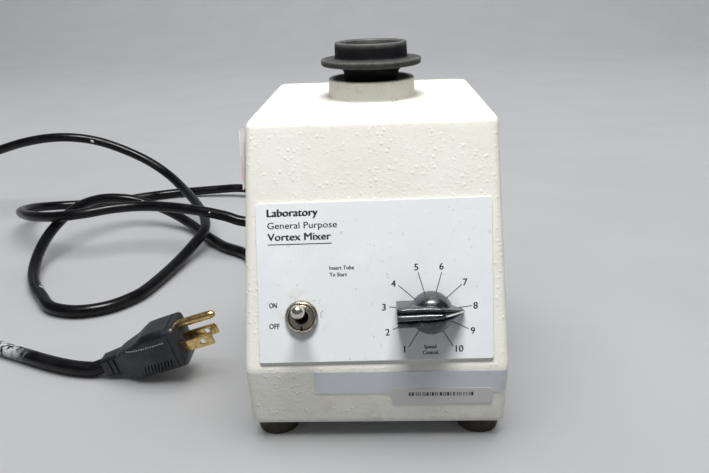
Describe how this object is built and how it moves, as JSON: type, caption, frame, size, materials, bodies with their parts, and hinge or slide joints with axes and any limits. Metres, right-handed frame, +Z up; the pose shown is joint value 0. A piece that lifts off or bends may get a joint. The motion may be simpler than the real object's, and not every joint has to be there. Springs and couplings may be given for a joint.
{
  "type": "vortex mixer",
  "caption": "Benchtop lab vortex mixer with a sloping control panel, a toggle switch, a speed knob and a rubber cup that orbits when a tube is pressed into it.",
  "frame": {"origin": "middle of the bounding box, without the cord and plug, on the surface the feet stand on", "axes": "+Z up, -Y towards the operator (the sloping control face), +X to the operator's right"},
  "size_m": [0.5284, 0.4341, 0.1834],
  "materials": {
    "cream_paint": "fine wrinkle paint on a casting, slightly worn",
    "printed_panel": "satin light grey coated sheet with dark print",
    "steel": "zinc plated",
    "nickel": "bright nickel, tarnished",
    "aluminium": "as cast and machined",
    "iron": "rough cast",
    "copper": "varnished copper winding",
    "bronze": "sintered, oiled",
    "brass": "scuffed",
    "black_rubber": "matt with a dusty bloom",
    "foot_rubber": "matt brown black",
    "black_pvc": "semi matt PVC with light scuffs",
    "knob_plastic": "polished phenolic",
    "phenolic": "moulded phenolic",
    "nylon": "natural nylon",
    "red_plastic": "moulded",
    "circuit_board": "solder resist",
    "capacitor_sleeve": "shrink sleeve"
  },
  "bodies": {
    "housing": {"housing": "cream_paint", "front_panel": "printed_panel", "base_plate": "steel", "foot_front_left": "foot_rubber", "foot_front_right": "foot_rubber", "foot_rear_left": "foot_rubber", "foot_rear_right": "foot_rubber", "base_screw_front_left": "steel", "base_screw_front_right": "steel", "base_screw_rear_left": "steel", "base_screw_rear_right": "steel", "ballast_block": "iron", "guide_post_front_left": "nickel", "guide_post_front_right": "nickel", "guide_post_rear_left": "nickel", "guide_post_rear_right": "nickel", "spring_front_left": "nickel", "spring_front_right": "nickel", "spring_rear_left": "nickel", "spring_rear_right": "nickel", "switch_bracket": "steel", "start_switch": "phenolic", "toggle_switch": "nickel", "toggle_nut": "nickel", "potentiometer": "phenolic", "potentiometer_nut": "nickel", "board_bracket": "aluminium", "control_board": "circuit_board", "capacitor": "capacitor_sleeve", "heat_sink": "aluminium", "triac": "phenolic", "strain_relief": "black_pvc", "power_cord": "black_pvc", "plug_body": "black_pvc", "plug_blade_near": "brass", "plug_blade_far": "brass", "plug_ground_pin": "brass"},
    "motor_carriage": {"motor_plate": "steel", "motor_lower_bracket": "aluminium", "motor_upper_bracket": "aluminium", "lower_bearing": "nickel", "upper_bearing": "nickel", "stator": "steel", "field_coil_left": "copper", "field_coil_right": "copper"},
    "rotor": {"rotor": "steel", "motor_shaft": "nickel", "cooling_fan": "nylon", "eccentric_crank": "iron"},
    "cup": {"rubber_cup": "black_rubber", "cup_hub": "nylon", "crank_bush": "bronze"},
    "start_button": {"start_button": "red_plastic"},
    "toggle_lever": {"toggle_lever": "nickel"},
    "speed_knob": {"speed_knob": "knob_plastic", "knob_set_screw": "nickel", "potentiometer_shaft": "nickel"}
  },
  "joints": [
    {"name": "press_to_start", "type": "slide", "parent": "housing", "child": "motor_carriage", "axis": [0, 0, 1], "range_m": [-0.002, 0], "stiffness_N_per_m": 1800, "springref_m": 0.014, "deforming": ["spring_front_left", "spring_front_right", "spring_rear_left", "spring_rear_right"]},
    {"name": "motor_spin", "type": "hinge", "parent": "motor_carriage", "child": "rotor", "pos_m": [0, 0.0233, 0.09], "axis": [0, 0, 1], "continuous": true},
    {"name": "cup_on_crank", "type": "hinge", "parent": "rotor", "child": "cup", "pos_m": [0, 0.0213, 0.155], "axis": [0, 0, 1], "continuous": true},
    {"name": "start_button_travel", "type": "slide", "parent": "housing", "child": "start_button", "axis": [0, 0, 1], "range_m": [-0.002, 0]},
    {"name": "toggle_throw", "type": "hinge", "parent": "housing", "child": "toggle_lever", "pos_m": [-0.0348, -0.06485, 0.06399], "axis": [1, 0, 0], "range_deg": [0, 28]},
    {"name": "speed_turn", "type": "hinge", "parent": "housing", "child": "speed_knob", "pos_m": [0.0265, -0.06694, 0.06601], "axis": [0, -0.9537, 0.3007], "range_deg": [-59, 236]}
  ],
  "couplings": [
    {"joint": "cup_on_crank", "follows": "motor_spin", "ratio": -1},
    {"joint": "start_button_travel", "follows": "press_to_start", "ratio": 1}
  ]
}
